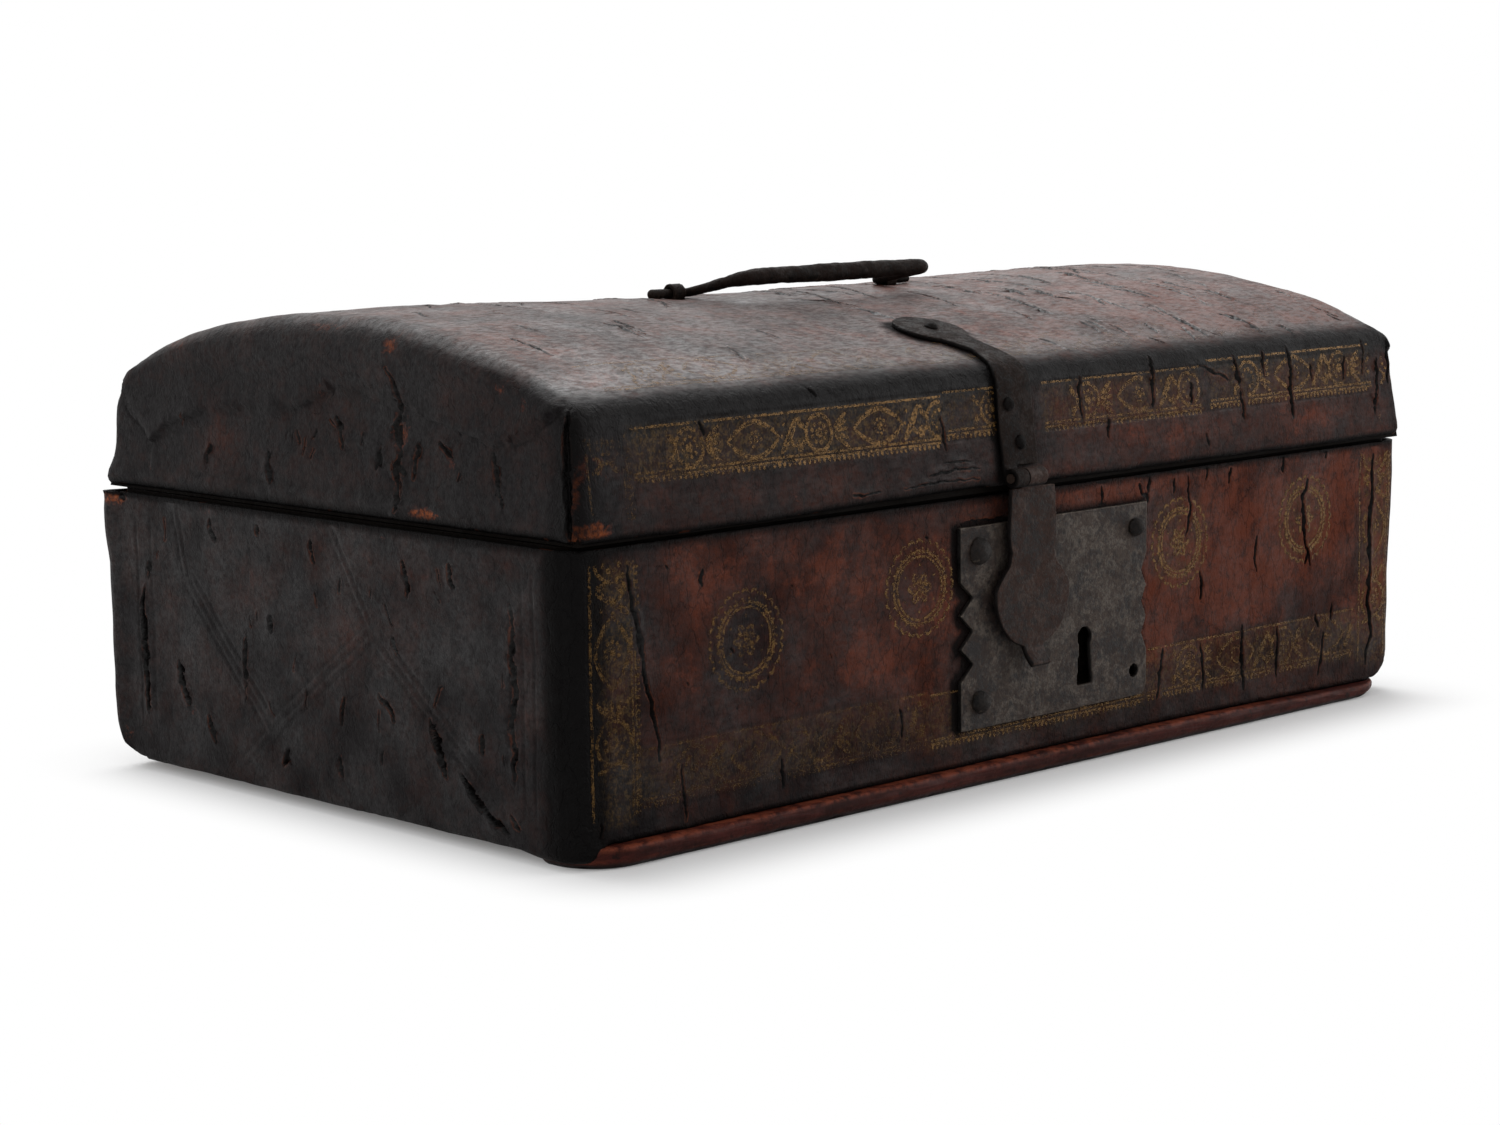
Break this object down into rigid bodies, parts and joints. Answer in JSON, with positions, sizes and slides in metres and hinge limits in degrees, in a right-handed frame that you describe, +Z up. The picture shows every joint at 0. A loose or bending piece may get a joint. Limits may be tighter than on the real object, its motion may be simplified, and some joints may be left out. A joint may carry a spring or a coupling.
{
  "type": "leather document box",
  "caption": "Leather-covered wooden document box with a low domed hinged lid, an iron lock plate with a hinged hasp and a forged iron carrying handle.",
  "frame": {"origin": "centre of the body's footprint, on the surface that the box stands on", "axes": "+Z up, +X along the front to the right as seen from the lock, +Y towards the hinges"},
  "size_m": [0.4, 0.2533, 0.163],
  "materials": {
    "aged_leather": "worn, polished by handling",
    "lining_paper": "aged, matt",
    "base_wood": "stained red-brown, worn",
    "softwood": "planed, aged",
    "forged_iron": "forged, dark patina",
    "lock_iron": "filed, dull",
    "nail_iron": "hand forged, dark"
  },
  "bodies": {
    "box": {"base_board": "base_wood", "front_board": "softwood", "back_board": "softwood", "left_end_board": "softwood", "right_end_board": "softwood", "body_leather": "aged_leather", "body_lining": "lining_paper", "corner_nails": "nail_iron", "base_nails": "nail_iron", "lock_plate": "forged_iron", "lock_plate_nails": "nail_iron", "lock_case": "lock_iron", "bolt_guides": "lock_iron", "bolt_spring": "lock_iron", "left_hinge_lower_leaf": "forged_iron", "right_hinge_lower_leaf": "forged_iron", "lower_hinge_nails": "nail_iron", "left_hinge_pin": "forged_iron", "right_hinge_pin": "forged_iron"},
    "lid": {"lid_top_board": "softwood", "lid_front_rail": "softwood", "lid_back_rail": "softwood", "lid_left_end": "softwood", "lid_right_end": "softwood", "lid_leather": "aged_leather", "lid_lining": "lining_paper", "lid_nails": "nail_iron", "handle_eye_left": "forged_iron", "handle_eye_right": "forged_iron", "hasp_strap": "forged_iron", "hasp_strap_nails": "nail_iron", "hasp_pin": "forged_iron", "left_hinge_upper_leaf": "forged_iron", "right_hinge_upper_leaf": "forged_iron", "upper_hinge_nails": "nail_iron"},
    "hasp": {"hasp": "forged_iron", "hasp_staple": "forged_iron"},
    "handle": {"handle_bail": "forged_iron"},
    "bolt": {"lock_bolt": "lock_iron"}
  },
  "joints": [
    {"name": "lid_hinge", "type": "hinge", "parent": "box", "child": "lid", "pos_m": [0, 0.1242, 0.09375], "axis": [-1, 0, 0], "range_deg": [0, 100]},
    {"name": "hasp_hinge", "type": "hinge", "parent": "lid", "child": "hasp", "pos_m": [0, -0.12271, 0.098], "axis": [-1, 0, 0], "range_deg": [0, 170]},
    {"name": "handle_pivot", "type": "hinge", "parent": "lid", "child": "handle", "pos_m": [0, 0, 0.1543], "axis": [-1, 0, 0], "range_deg": [0, 156]},
    {"name": "bolt_slide", "type": "slide", "parent": "box", "child": "bolt", "axis": [-1, 0, 0], "range_m": [0, 0.0085]}
  ]
}
